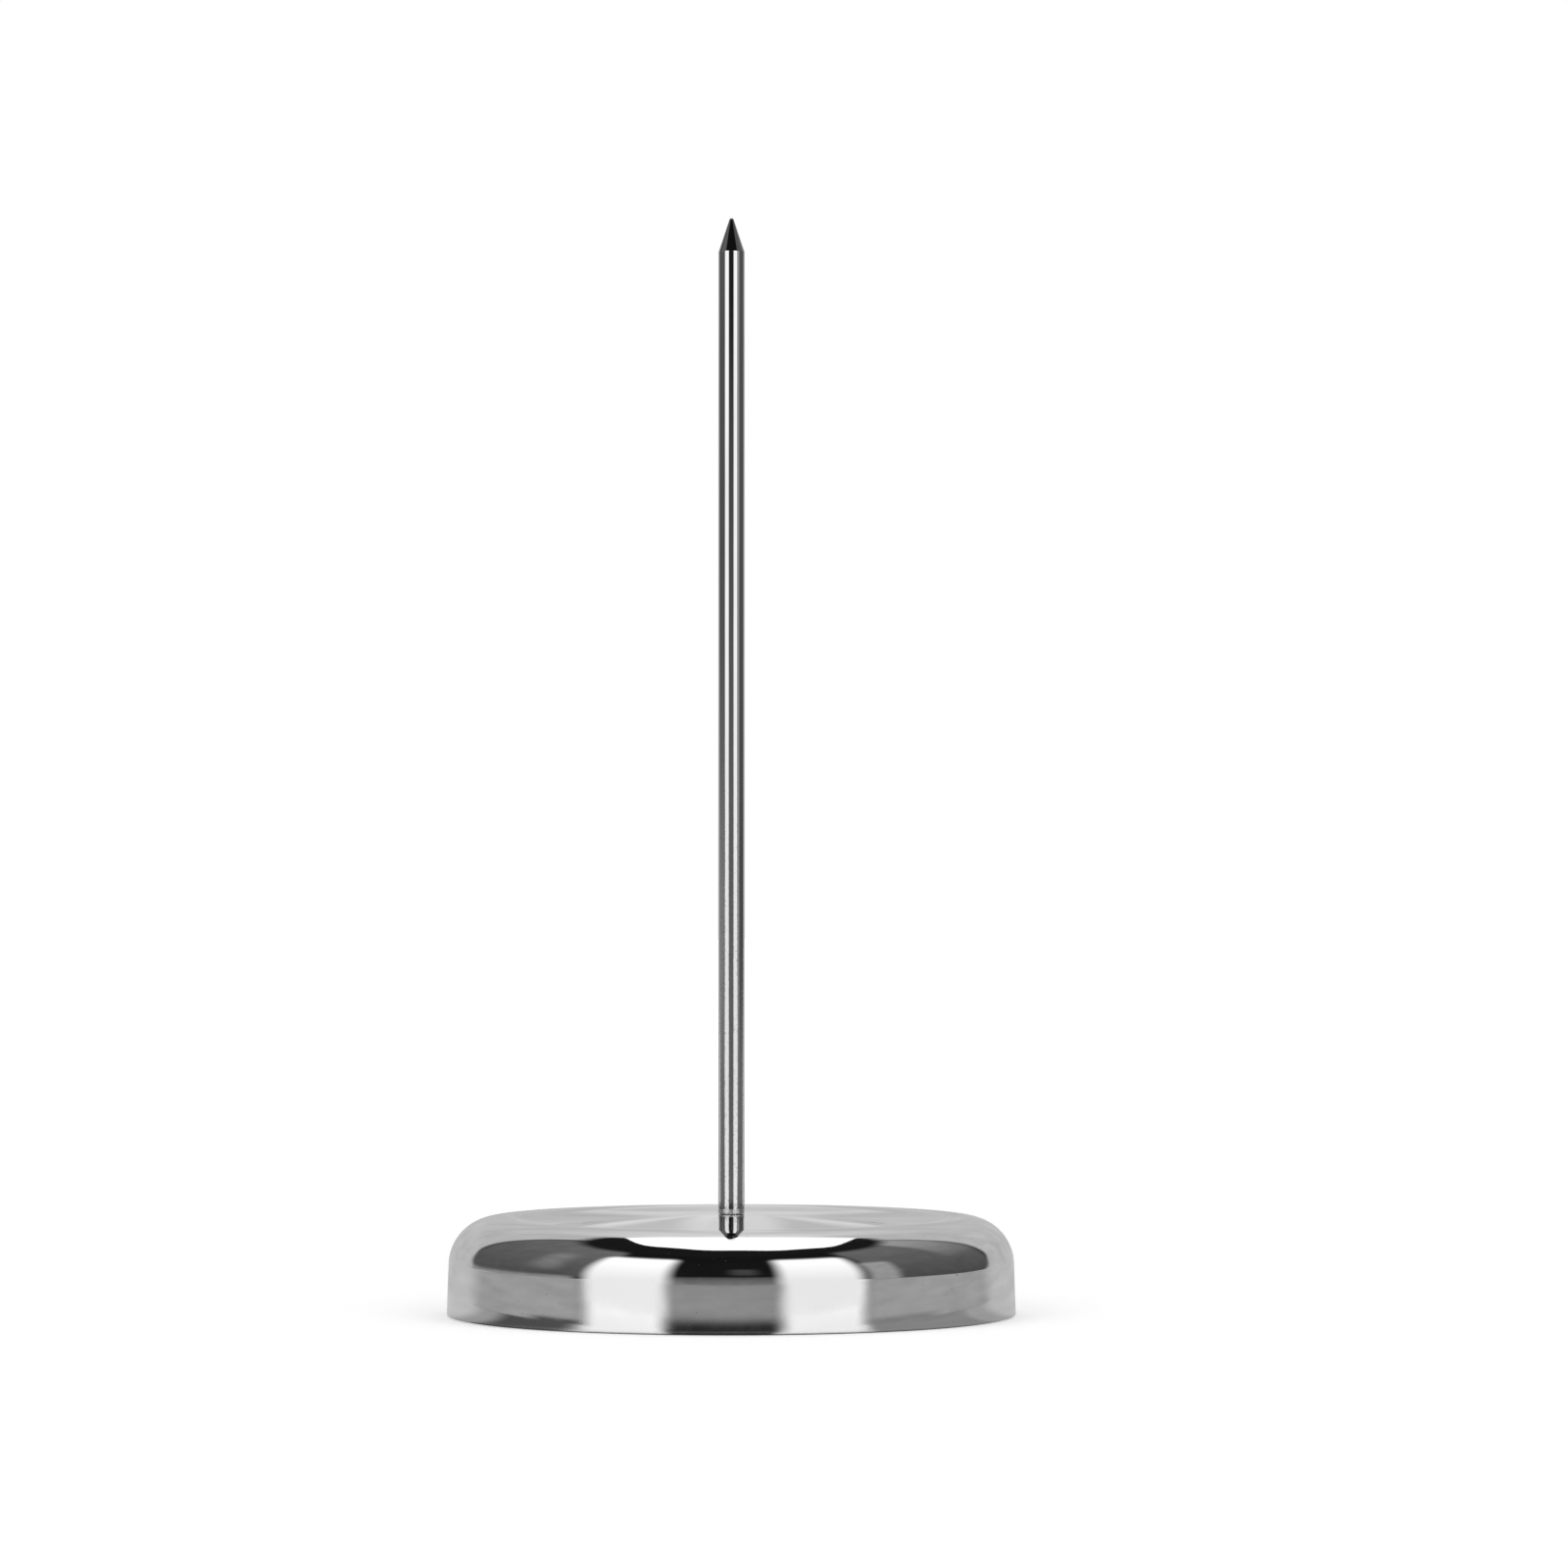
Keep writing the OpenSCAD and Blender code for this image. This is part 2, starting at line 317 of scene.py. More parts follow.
class Shader:
    """The nodes of a material, or of another owner, in the making."""

    def __init__(self, name, owner=None, output="ShaderNodeOutputMaterial"):
        self.owner = owner or bpy.data.materials.new(name)
        self.owner.use_nodes = True
        self.tree = self.owner.node_tree
        self.tree.nodes.clear()
        self.output = self.tree.nodes.new(output)
        self.place = self.out("Object", "ShaderNodeTexCoord")

    def add(self, kind, inputs=None, **settings):
        """Adds a node. An input is a value or another node's output."""
        node = self.tree.nodes.new(kind)
        for name, value in settings.items():
            setattr(node, name, value)
        for socket, value in (inputs or {}).items():
            if isinstance(value, bpy.types.NodeSocket):
                self.tree.links.new(value, node.inputs[socket])
            else:
                node.inputs[socket].default_value = value
        return node

    def out(self, output, kind, inputs=None, **settings):
        """Adds a node and gives one of its outputs."""
        return self.add(kind, inputs, **settings).outputs[output]

    def ends_in(self, shader):
        """Makes this shader what shows, and gives the owner."""
        self.tree.links.new(shader, self.output.inputs["Surface"])
        return self.owner

    def math(self, operation, first, second=0.0):
        """One step of reckoning with one or two numbers."""
        return self.out(0, "ShaderNodeMath", {0: first, 1: second}, operation=operation)

    def plus(self, first, second):
        """The sum of two numbers."""
        return self.math("ADD", first, second)

    def times(self, first, second):
        """The product of two numbers."""
        return self.math("MULTIPLY", first, second)

    def distance(self, first, second):
        """How far it is to a place that lies so far one way and so far across it."""
        return self.math("SQRT", self.plus(self.math("POWER", first, 2.0), self.math("POWER", second, 2.0)))

    def split(self, vector=None):
        """The three coordinates of the shaded place, or of another."""
        return self.add("ShaderNodeSeparateXYZ", {"Vector": vector or self.place}).outputs

    def axis_distance(self):
        """How far the shaded place is from the rod's axis."""
        part = self.split()
        return self.distance(part["X"], part["Y"])

    def table_height(self):
        """How high the shaded place is above the table."""
        return self.split()["Z"]

    def seen_rays(self):
        """1 for the rays by which the camera, metal or glass sees the surface, and 0 for all others."""
        path = self.add("ShaderNodeLightPath").outputs
        rays = self.plus(path["Is Camera Ray"], path["Is Glossy Ray"])
        return self.math("MINIMUM", self.plus(rays, path["Is Transmission Ray"]), 1.0)

    def stretched(self, scale):
        """The object's own coordinates, scaled."""
        return self.out("Vector", "ShaderNodeMapping", {"Vector": self.place, "Scale": scale})

    def noise(self, size, detail=3.0, vector=None, roughness=0.5):
        """Noise whose grain is about this long, in metres."""
        grain = {"Scale": 1 / size, "Detail": detail, "Roughness": roughness}
        return self.out("Fac", "ShaderNodeTexNoise", {"Vector": vector or self.place, **grain})

    def ramp(self, value, low, high, out_low=0.0, out_high=1.0, smooth=True):
        """Maps a range of one number to a range of another, held at its ends."""
        ends = {"Value": value, "From Min": low, "From Max": high, "To Min": out_low, "To Max": out_high}
        kind = "SMOOTHSTEP" if smooth else "LINEAR"
        return self.out("Result", "ShaderNodeMapRange", ends, interpolation_type=kind, clamp=True)

    def blend(self, factor, first, second):
        """Mixes two colours."""
        colours = {"Factor": factor, "A": first, "B": second}
        return self.out("Result", "ShaderNodeMix", colours, data_type="RGBA")

    def bump(self, height, distance, normal=None):
        """Raises the surface by a height times a distance in metres."""
        inputs = {"Height": height, "Distance": distance, "Strength": 1.0}
        if normal:
            inputs["Normal"] = normal
        return self.out("Normal", "ShaderNodeBump", inputs)

    def surface(self, **inputs):
        """Sets the surface shader and gives the material."""
        named = {name.replace("_", " "): value for name, value in inputs.items()}
        return self.ends_in(self.out("BSDF", "ShaderNodeBsdfPrincipled", named))

    def glowing(self, shown, bright):
        """Sets how bright a card is and where it shows, and gives the material."""
        glow = self.out("Emission", "ShaderNodeEmission", {"Strength": bright})
        clear = self.out("BSDF", "ShaderNodeBsdfTransparent")
        return self.ends_in(self.out("Shader", "ShaderNodeMixShader", {0: shown, 1: clear, 2: glow}))


def shade(rgb, factor):
    """A colour, darker or lighter, as four numbers."""
    return (*[min(1.0, channel * factor) for channel in rgb], 1.0)


def polished_rod_finish(settings):
    """Bright drawn rod: lengthwise marks, pits that thicken towards the foot, turned rings on the point."""
    sizes = settings.spike
    made = Shader("polished_rod_steel")
    rgb = settings.finishes.polished_rod
    height = made.table_height()
    marks = made.noise(0.25 * MM, 4.0, made.stretched((1, 1, 0.03)))
    lines = made.noise(0.9 * MM, 2.0, made.stretched((1, 1, 0.05)))
    pits = made.noise(0.28 * MM, 2.0)
    # The lower half of the rod is less polished
    worn = made.ramp(height, 85 * MM, 45 * MM)
    pitted = made.ramp(pits, 0.58, 0.72)
    grit = made.times(pitted, worn)
    # The foot is left rough, with a painted highlight in its speckles, and a little above it the rod is
    # darkened in patches with painted shade
    foot = made.ramp(height, SHELL_HIGH.z + FOOT_ROUGH, SHELL_HIGH.z + 0.8 * FOOT_ROUGH)
    foot_grain = made.noise(0.14 * MM, 2.0)
    patchy_painted_shade = made.ramp(height, SHELL_HIGH.z + 2.2 * FOOT_ROUGH, SHELL_HIGH.z + FOOT_ROUGH)
    patchy_painted_shade = made.times(patchy_painted_shade, made.ramp(pits, 0.42, 0.6))
    # Turned rings on the ground point
    point_z = SPIKE_HIGH.z - sizes.point_len
    ground = made.ramp(height, point_z - 0.03 * MM, point_z + 0.03 * MM)
    turned = {"Scale": 1 / (0.5 * MM), "Distortion": 1.5, "Detail": 2.0, "Detail Scale": 2.0}
    rings = made.out("Fac", "ShaderNodeTexWave", {"Vector": made.place, **turned}, bands_direction="Z")
    rings = made.times(rings, ground)
    tone = made.blend(made.ramp(lines, 0.35, 0.7), shade(rgb, 1.02), shade(rgb, 0.95))
    tone = made.blend(made.times(worn, 0.5), tone, shade(rgb, 0.85))
    tone = made.blend(made.times(grit, 0.6), tone, shade(rgb, 0.5))
    tone = made.blend(made.times(ground, 0.8), tone, shade(rgb, 0.7))
    # Painted shade in patches just above the foot, where the rod meets the shell
    tone = made.blend(made.times(patchy_painted_shade, 0.7), tone, shade(rgb, 0.3))
    # The foot's speckles run from a little darker than the steel to brighter than it: rough grain with a
    # painted highlight
    foot_grain_and_highlight = made.blend(made.ramp(foot_grain, 0.35, 0.65), shade(rgb, 0.85), shade(rgb, 1.25))
    tone = made.blend(foot, tone, foot_grain_and_highlight)
    rough = made.plus(made.ramp(marks, 0.3, 0.75, 0.03, 0.08), made.times(grit, 0.15))
    rough = made.plus(rough, made.times(worn, 0.03))
    rough = made.plus(rough, made.times(foot, 0.22))
    normal = made.bump(marks, 0.0009 * MM)
    normal = made.bump(lines, 0.003 * MM, normal)
    normal = made.bump(made.times(pits, worn), 0.006 * MM, normal)
    normal = made.bump(rings, 0.002 * MM, normal)
    normal = made.bump(made.times(foot_grain, foot), 0.05 * MM, normal)
    return made.surface(Base_Color=tone, Metallic=1.0, Roughness=rough, Normal=normal)


def mirror_shell_finish(settings):
    """Mirror polish with slight waves from the press, a few fine scratches and small pits."""
    made = Shader("mirror_pressed_steel")
    rgb = settings.finishes.mirror_shell
    height = made.table_height()
    waves = made.noise(14 * MM, 1.0)
    ripple = made.noise(2.2 * MM, 2.0)
    hairs = made.noise(0.16 * MM, 2.0, made.stretched((1, 0.05, 1)))
    cross = made.noise(0.16 * MM, 2.0, made.stretched((0.05, 1, 1)))
    spots = made.noise(0.55 * MM, 1.0)
    scratched = made.plus(made.ramp(hairs, 0.72, 0.8), made.ramp(cross, 0.73, 0.8))
    patches = made.ramp(made.noise(9 * MM, 2.0), 0.5, 0.7)
    scratched = made.times(scratched, patches)
    pitted = made.ramp(spots, 0.79, 0.84)
    # The lowest half millimetre, next to the cut edge, is a little duller
    edge = made.ramp(height, SHELL_LOW.z + 0.5 * MM, SHELL_LOW.z)
    tone = made.blend(made.ramp(waves, 0.3, 0.7), shade(rgb, 1.0), shade(rgb, 0.97))
    tone = made.blend(pitted, tone, shade(rgb, 0.35))
    rough = made.ramp(ripple, 0.3, 0.7, 0.028, 0.045)
    rough = made.plus(rough, made.times(scratched, 0.12))
    rough = made.plus(rough, made.times(edge, 0.12))
    normal = made.bump(waves, 0.006 * MM)
    normal = made.bump(ripple, 0.0004 * MM, normal)
    normal = made.bump(made.times(scratched, -1.0), 0.0006 * MM, normal)
    normal = made.bump(made.times(pitted, -1.0), 0.01 * MM, normal)
    return made.surface(Base_Color=tone, Metallic=1.0, Roughness=rough, Normal=normal)


def ballast_finish(settings):
    """Rolled plate under a film of oil: scale in patches, rolling lines, sheared and rubbed rim."""
    made = Shader("plain_ballast_steel")
    rgb = settings.finishes.ballast
    radius = made.axis_distance()
    scale = made.noise(3.5 * MM, 5.0, None, 0.65)
    rolled = made.noise(0.35 * MM, 3.0, made.stretched((1, 0.04, 1)))
    grains = made.noise(0.3 * MM, 3.0)
    rim = made.ramp(radius, WEIGHT_HIGH.x - 0.7 * MM, WEIGHT_HIGH.x - 0.1 * MM)
    stain = made.ramp(made.noise(7 * MM, 4.0), 0.56, 0.75)
    tone = made.blend(made.ramp(scale, 0.35, 0.65), shade(rgb, 0.7), shade(rgb, 1.25))
    tone = made.blend(made.times(stain, 0.35), tone, (0.16, 0.1, 0.065, 1.0))
    tone = made.blend(made.times(rim, 0.7), tone, shade(rgb, 1.9))
    rough = made.ramp(scale, 0.3, 0.7, 0.34, 0.58)
    rough = made.math("SUBTRACT", rough, made.times(rim, 0.1))
    normal = made.bump(rolled, 0.006 * MM)
    normal = made.bump(grains, 0.01 * MM, normal)
    normal = made.bump(scale, 0.03 * MM, normal)
    return made.surface(Base_Color=tone, Metallic=0.9, Roughness=rough, Normal=normal)


def zinc_finish(settings):
    """Bright zinc plate: faint spangle, barrel marks, rubbed corners."""
    made = Shader("zinc_plated_steel")
    rgb = settings.finishes.zinc
    radius = made.axis_distance()
    spangle = made.out("Distance", "ShaderNodeTexVoronoi", {"Vector": made.place, "Scale": 1 / (0.5 * MM)})
    cloud = made.noise(0.9 * MM, 4.0)
    marks = made.noise(0.12 * MM, 3.0, made.stretched((1, 0.15, 1)))
    rubbed = made.ramp(radius, NUT_HIGH.y - 0.12 * MM, NUT_HIGH.y + 0.4 * MM)
    tone = made.blend(made.ramp(cloud, 0.35, 0.7), shade(rgb, 1.0), shade(rgb, 0.8))
    tone = made.blend(made.times(rubbed, 0.5), tone, shade(rgb, 1.2))
    rough = made.ramp(spangle, 0.1, 0.6, 0.2, 0.33)
    rough = made.plus(rough, made.ramp(cloud, 0.5, 0.8, 0.0, 0.12))
    normal = made.bump(marks, 0.003 * MM)
    normal = made.bump(cloud, 0.01 * MM, normal)
    return made.surface(Base_Color=tone, Metallic=1.0, Roughness=rough, Normal=normal)


def spring_steel_finish(settings):
    """Oil-hardened spring steel: dark, with a blue and brown cast and ground faces rubbed bright."""
    made = Shader("dark_spring_steel")
    rgb = settings.finishes.spring_steel
    radius = made.axis_distance()
    cast = made.noise(1.6 * MM, 3.0)
    grains = made.noise(0.1 * MM, 3.0)
    rubbed = made.ramp(radius, SPRING_HIGH.y - 0.1 * MM, SPRING_HIGH.y)
    tone = made.blend(made.ramp(cast, 0.35, 0.65), (0.13, 0.135, 0.17, 1.0), (0.21, 0.18, 0.155, 1.0))
    tone = made.blend(made.ramp(grains, 0.4, 0.75), tone, shade(rgb, 1.1))
    tone = made.blend(made.times(rubbed, 0.6), tone, shade(rgb, 2.2))
    rough = made.ramp(grains, 0.3, 0.7, 0.3, 0.46)
    normal = made.bump(grains, 0.004 * MM)
    normal = made.bump(cast, 0.01 * MM, normal)
    return made.surface(Base_Color=tone, Metallic=1.0, Roughness=rough, Normal=normal)


def rubber_finish(settings):
    """Moulded rubber: matt skin, faint bloom, treads scuffed and dusty where they rest."""
    made = Shader("black_rubber")
    rgb = settings.finishes.rubber
    height = made.table_height()
    skin = made.noise(0.22 * MM, 4.0, None, 0.6)
    bloom = made.noise(6 * MM, 4.0)
    dust = made.noise(0.5 * MM, 5.0, None, 0.7)
    rest = made.ramp(height, 0.12 * MM, 0.0)
    scuffed = made.times(rest, made.ramp(dust, 0.4, 0.65))
    tone = made.blend(made.ramp(bloom, 0.4, 0.7), shade(rgb, 0.9), shade(rgb, 1.5))
    tone = made.blend(made.times(scuffed, 0.55), tone, (0.13, 0.125, 0.12, 1.0))
    rough = made.ramp(skin, 0.3, 0.7, 0.55, 0.72)
    rough = made.plus(rough, made.times(scuffed, 0.15))
    normal = made.bump(skin, 0.02 * MM)
    normal = made.bump(made.times(dust, rest), 0.02 * MM, normal)
    return made.surface(Base_Color=tone, Roughness=rough, Normal=normal, Specular_IOR_Level=0.4)


def shell_face(sizes):
    """The upper face of the shell, from its lower edge over the rim to the hole, as a turned sheet."""
    edge_r, edge_z = SHELL_HIGH.x, SHELL_LOW.z
    seat_z = SHELL_HIGH.z
    trough_z = sizes.crest_z - sizes.trough_drop
    shoulder_z = sizes.crest_z - sizes.shoulder_r
    # The shoulder's arc runs tangent to the skirt, which sets the radius of the crest
    skirt_lean = (shoulder_z - edge_z) * math.tan(sizes.draft)
    crest_r = edge_r - skirt_lean - sizes.shoulder_r / math.cos(sizes.draft)
    rim_run = crest_r - sizes.trough_r
    rim_slope = 2 * math.atan(sizes.trough_drop / rim_run)
    trough_outer_r = rim_run / math.sin(rim_slope) - sizes.shoulder_r
    # The cone is the straight line that is tangent to the trough's inner arc and to the seat's blend
    blend_sum = sizes.trough_inner_r + sizes.seat_blend_r
    cone_run = sizes.trough_r - sizes.seat_r
    cone_drop = blend_sum - (seat_z - trough_z)
    cone_slope = math.atan2(cone_run, cone_drop) - math.acos(blend_sum / math.hypot(cone_run, cone_drop))
    blend_start_r = sizes.seat_r + sizes.seat_blend_r * math.sin(cone_slope)
    blend_start_z = seat_z - sizes.seat_blend_r * (1 - math.cos(cone_slope))

    pen = Pen(edge_r, edge_z)
    pen.line(
        crest_r + sizes.shoulder_r * math.cos(sizes.draft),
        shoulder_z + sizes.shoulder_r * math.sin(sizes.draft),
    )
    pen.arc(crest_r, shoulder_z, math.pi / 2 + rim_slope - sizes.draft)
    pen.arc(sizes.trough_r, trough_z + trough_outer_r, -rim_slope)
    pen.arc(sizes.trough_r, trough_z + sizes.trough_inner_r, -cone_slope)
    pen.line(blend_start_r, blend_start_z)
    pen.arc(sizes.seat_r, seat_z - sizes.seat_blend_r, cone_slope)
    return pen


class Step:
    """A step of the making, run on the scene's settings."""

    def execute(self, context):
        self.make(context.scene.bill_spike)
        return {"FINISHED"}


class BILLSPIKE_OT_press_shell(Step, bpy.types.Operator):
    """Press the mirror-bright shell from one sheet"""

    bl_idname = "bill_spike.press_shell"
    bl_label = "Press the shell"

    def make(self, settings):
        sizes = settings.shell
        pen = shell_face(sizes)
        pen.line(settings.stack.hole_r, SHELL_HIGH.z)
        bm = pen.turned(SHELL_STEPS)
        # The upper face must look outwards before the sheet gets its thickness
        highest = max(bm.faces, key=lambda face: face.calc_center_median().z)
        if highest.normal.z < 0:
            bmesh.ops.reverse_faces(bm, faces=bm.faces[:])
        bmesh.ops.solidify(bm, geom=bm.faces[:], thickness=sizes.sheet_t)
        round_edges(bm, sharp_edges(bm, SQUARE), sizes.edge_break)
        finished(bm, "pressed_shell", "base_shell", mirror_shell_finish(settings))


def join(bm, other):
    """Moves the faces of another mesh into this one."""
    mesh = bpy.data.meshes.new("joined")
    other.to_mesh(mesh)
    other.free()
    bm.from_mesh(mesh)
    bpy.data.meshes.remove(mesh)


def thread_ridge(root_r, crest_r, pitch, z0, z1):
    """Winds a ridge of a screw thread round the Z axis."""
    bm = bmesh.new()
    root = pitch / 2 * RIDGE_ROOT
    crest = root * RIDGE_CREST
    corners = [(root_r, z0 - root), (crest_r, z0 - crest), (crest_r, z0 + crest), (root_r, z0 + root)]
    start = bm.faces.new([bm.verts.new((x, 0, z)) for x, z in corners])
    turns = (z1 - z0) / pitch
    steps = math.ceil(turns * THREAD_STEPS)
    wind(bm, [start], turns * math.tau, steps, dvec=(0, 0, (z1 - z0) / steps))
    bmesh.ops.recalc_face_normals(bm, faces=bm.faces[:])
    return bm


class BILLSPIKE_OT_turn_spike(Step, bpy.types.Operator):
    """Turn the polished rod with its ground point and threaded stem"""

    bl_idname = "bill_spike.turn_spike"
    bl_label = "Turn the spike"

    def make(self, settings):
        sizes = settings.spike
        rod_r, tip_r = sizes.rod_r, sizes.tip_r
        tip_z = SPIKE_HIGH.z - tip_r
        point_z = SPIKE_HIGH.z - sizes.point_len
        slope = math.atan2(rod_r - tip_r, sizes.point_len)
        seat_z = SHELL_HIGH.z
        stem_z = SPIKE_LOW.z

        pen = Pen(0, stem_z)
        pen.points(
            (sizes.thread_r - sizes.thread_lead, stem_z),
            (sizes.thread_root_r, stem_z + sizes.thread_lead / 2),
            (sizes.thread_root_r, WEIGHT_HIGH.z),
            (sizes.thread_r, WEIGHT_HIGH.z + THREAD_TAPER),
            (sizes.thread_r, seat_z),
            (rod_r - sizes.foot_break, seat_z),
        )
        pen.arc(rod_r - sizes.foot_break, seat_z + sizes.foot_break, math.pi / 2)
        pen.line(rod_r, point_z - POINT_BREAK_Z)
        pen.points((rod_r - POINT_BREAK_R, point_z))
        pen.line(tip_r * math.cos(slope), tip_z + tip_r * math.sin(slope))
        pen.arc(0, tip_z, math.pi / 2 - slope)
        bm = pen.turned(ROD_STEPS)
        ridge = thread_ridge(
            sizes.thread_root_r - RIDGE_SINK,
            sizes.thread_r,
            sizes.thread_pitch,
            stem_z + sizes.thread_lead,
            WEIGHT_HIGH.z - sizes.thread_pitch,
        )
        join(bm, ridge)
        finished(bm, "polished_rod", "spike", polished_rod_finish(settings))


class BILLSPIKE_OT_stack_weight(Step, bpy.types.Operator):
    """Cut the ballast disc and punch the plain washer"""

    bl_idname = "bill_spike.stack_weight"
    bl_label = "Stack the weight"

    def make(self, settings):
        sizes = settings.stack
        chamfer = sizes.weight_chamfer
        weight_r = WEIGHT_HIGH.x
        low, high = WEIGHT_LOW.z, WEIGHT_HIGH.z
        pen = Pen(sizes.hole_r, low)
        pen.points((weight_r - chamfer, low), (weight_r, low + chamfer))
        pen.points((weight_r, high - chamfer), (weight_r - chamfer, high))
        pen.points((sizes.hole_r, high), (sizes.hole_r, low))
        bm = pen.turned(RING_STEPS)
        round_edges(bm, sharp_edges(bm, SLOPED), chamfer / SOFTENED_BY)
        finished(bm, "ballast_disc", "weight_disc", ballast_finish(settings))

        # The punch leaves the lower edge of the washer rounded and the upper one square
        low, high = WASHER_LOW.z, WASHER_HIGH.z
        outer_r = WASHER_HIGH.x
        radius = sizes.washer_round
        pen = Pen(sizes.hole_r, high)
        pen.points((sizes.hole_r, low), (outer_r - radius, low))
        pen.arc(outer_r - radius, low + radius, math.pi / 2)
        pen.points((outer_r, high), (sizes.hole_r, high))
        bm = pen.turned(SMALL_STEPS)
        round_edges(bm, sharp_edges(bm, SQUARE), radius / SOFTENED_BY)
        finished(bm, "punched_washer", "plain_washer", zinc_finish(settings))


class BILLSPIKE_OT_coil_spring_washer(Step, bpy.types.Operator):
    """Coil the split washer, pressed flat, with its slanted slit"""

    bl_idname = "bill_spike.coil_spring_washer"
    bl_label = "Coil the spring washer"

    def make(self, settings):
        sizes = settings.stack
        low, high = SPRING_LOW.z, SPRING_HIGH.z
        outer_r, inner_r = SPRING_HIGH.y, sizes.hole_r
        middle_r, middle_z = (outer_r + inner_r) / 2, (low + high) / 2
        slit = sizes.slit_w / middle_r
        bm = bmesh.new()
        corners = [(inner_r, low), (outer_r, low), (outer_r, high), (inner_r, high)]
        start = bm.faces.new([bm.verts.new((x, 0, z)) for x, z in corners])
        bmesh.ops.rotate(bm, verts=bm.verts[:], matrix=Matrix.Rotation(slit / 2, 3, UP))
        wind(bm, [start], math.tau - slit, SMALL_STEPS)
        bmesh.ops.recalc_face_normals(bm, faces=bm.faces[:])
        # Both ends lean, so that the slit runs slantwise through the ring
        reach = LEAN_STEPS * math.tau / SMALL_STEPS
        for vert in bm.verts:
            away = abs(math.atan2(vert.co.y, vert.co.x))
            lean = (vert.co.z - middle_z) * math.tan(sizes.slit_slant) / middle_r
            lean *= max(0.0, 1 - max(0.0, away - slit) / reach)
            vert.co.rotate(Matrix.Rotation(-lean, 3, UP))
        round_edges(bm, sharp_edges(bm, SQUARE), SPRING_BREAK)
        finished(bm, "split_washer", "spring_washer", spring_steel_finish(settings))


def draw_round(face, radius, z):
    """Moves the corners of a level face onto a circle round the Z axis, at a height."""
    for vert in face.verts:
        vert.co = Vector((vert.co.x, vert.co.y, 0)).normalized() * radius + UP * z


class BILLSPIKE_OT_cut_nut(Step, bpy.types.Operator):
    """Cut the hexagon nut, chamfer its corners and tap its bore"""

    bl_idname = "bill_spike.cut_nut"
    bl_label = "Cut the nut"

    def make(self, settings):
        sizes = settings.stack
        low, high = NUT_LOW.z, NUT_HIGH.z
        flat_r = sizes.across_flats / 2
        corner_r = flat_r / math.cos(math.pi / NUT_SIDES)
        bm = bmesh.new()
        bmesh.ops.create_cone(
            bm, cap_ends=True, segments=NUT_SIDES, radius1=corner_r, radius2=corner_r, depth=high - low,
            matrix=Matrix.Translation((0, 0, (low + high) / 2)),
        )
        # The hexagon's corners lie on the X axis, as the frame's do
        corner = max(bm.verts, key=lambda vert: vert.co.x)
        bmesh.ops.rotate(
            bm, verts=bm.verts[:], matrix=Matrix.Rotation(-math.atan2(corner.co.y, corner.co.x), 3, UP)
        )
        slope = sizes.nut_chamfer
        for face_z, side in ((low, -1), (high, 1)):
            for index in range(CHAMFER_STEPS):
                turn = math.tau * (index + 0.5) / CHAMFER_STEPS
                out = Vector((math.cos(turn), math.sin(turn), 0))
                cut = bmesh.ops.bisect_plane(
                    bm, geom=bm.verts[:] + bm.edges[:] + bm.faces[:], dist=MERGE, clear_outer=True,
                    plane_co=out * flat_r + UP * face_z,
                    plane_no=out * math.sin(slope) + UP * side * math.cos(slope),
                )
                edges = [item for item in cut["geom_cut"] if isinstance(item, bmesh.types.BMEdge)]
                bmesh.ops.contextual_create(bm, geom=edges)
        weld(bm)
        # Each face is led down a countersink to the bore, which joins the two openings
        bore_r = sizes.hole_r - BORE_TIGHTER
        rims = []
        for face_z, side in ((low, -1), (high, 1)):
            level = [item for item in bm.faces if abs(item.calc_center_median().z - face_z) < MERGE]
            face = max(level, key=lambda item: side * item.normal.z)
            bmesh.ops.inset_individual(bm, faces=[face], thickness=flat_r * FACE_INSET)
            draw_round(face, bore_r * COUNTERSINK, face_z)
            face = bmesh.ops.extrude_discrete_faces(bm, faces=[face])["faces"][0]
            draw_round(face, bore_r, face_z - side * COUNTERSINK_DEPTH)
            rims.append(face)
        edges = [edge for face in rims for edge in face.edges]
        bmesh.ops.delete(bm, geom=rims, context="FACES_ONLY")
        bmesh.ops.bridge_loops(bm, edges=edges)
        weld(bm)
        finished(bm, "chamfered_nut", "hex_nut", zinc_finish(settings))


